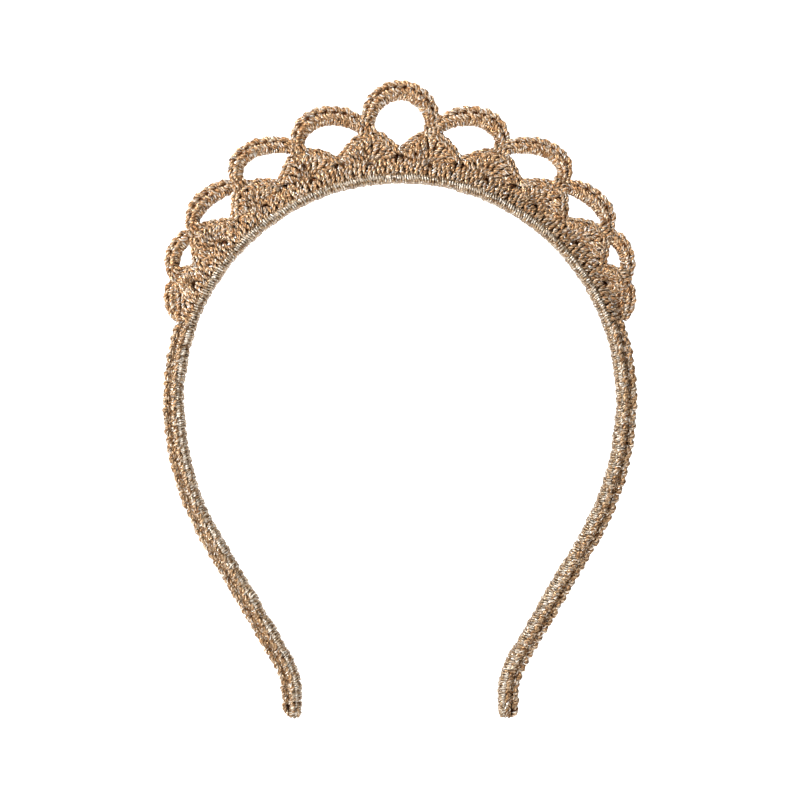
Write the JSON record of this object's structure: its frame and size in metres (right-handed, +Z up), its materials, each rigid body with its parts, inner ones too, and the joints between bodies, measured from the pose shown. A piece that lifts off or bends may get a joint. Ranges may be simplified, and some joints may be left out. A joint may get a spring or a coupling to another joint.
{
  "type": "crown headband",
  "caption": "Crocheted crown headband: a narrow springy alice band covered in metallic yarn, with a row of shell fans along the top and scalloped open arches above them.",
  "frame": {"origin": "middle of the inner face at the top of the arch, where the band rests on the head", "axes": "+Z up through the middle arch, away from the head; +X across the head, so the left side of the front view is -X; -Y is the side seen from the front"},
  "size_m": [0.1234, 0.0072, 0.1656],
  "materials": {
    "metallic_yarn": "copper-gold metallic yarn, glittering, crocheted",
    "spring_steel": "plain rolled strip, hidden under the crochet"
  },
  "bodies": {
    "crown": {"band_core_strip": "spring_steel", "crown_sleeve": "metallic_yarn", "centre_arch": "metallic_yarn", "left_temple_sleeve": "metallic_yarn", "left_fan_1": "metallic_yarn", "left_fan_2": "metallic_yarn", "left_fan_3": "metallic_yarn", "left_fan_4": "metallic_yarn", "left_fan_5": "metallic_yarn", "left_knot_1": "metallic_yarn", "left_knot_2": "metallic_yarn", "left_knot_3": "metallic_yarn", "left_knot_4": "metallic_yarn", "left_knot_5": "metallic_yarn", "left_arch_1": "metallic_yarn", "left_arch_2": "metallic_yarn", "left_arch_3": "metallic_yarn", "left_arch_4": "metallic_yarn", "left_end_scallop": "metallic_yarn", "right_temple_sleeve": "metallic_yarn", "right_fan_1": "metallic_yarn", "right_fan_2": "metallic_yarn", "right_fan_3": "metallic_yarn", "right_fan_4": "metallic_yarn", "right_fan_5": "metallic_yarn", "right_knot_1": "metallic_yarn", "right_knot_2": "metallic_yarn", "right_knot_3": "metallic_yarn", "right_knot_4": "metallic_yarn", "right_knot_5": "metallic_yarn", "right_arch_1": "metallic_yarn", "right_arch_2": "metallic_yarn", "right_arch_3": "metallic_yarn", "right_arch_4": "metallic_yarn", "right_end_scallop": "metallic_yarn"},
    "left_leg": {"left_leg_sleeve": "metallic_yarn", "left_foot_binding": "metallic_yarn"},
    "right_leg": {"right_leg_sleeve": "metallic_yarn", "right_foot_binding": "metallic_yarn"}
  },
  "joints": [
    {"name": "left_leg_flex", "type": "hinge", "parent": "crown", "child": "left_leg", "pos_m": [-0.05702, 0, -0.04615], "axis": [0, 1, 0], "range_deg": [-6, 24], "stiffness_Nm_per_rad": 0.33, "deforming": ["left_temple_sleeve", "band_core_strip"]},
    {"name": "right_leg_flex", "type": "hinge", "parent": "crown", "child": "right_leg", "pos_m": [0.05702, 0, -0.04615], "axis": [0, -1, 0], "range_deg": [-6, 24], "stiffness_Nm_per_rad": 0.33, "deforming": ["right_temple_sleeve", "band_core_strip"]}
  ]
}
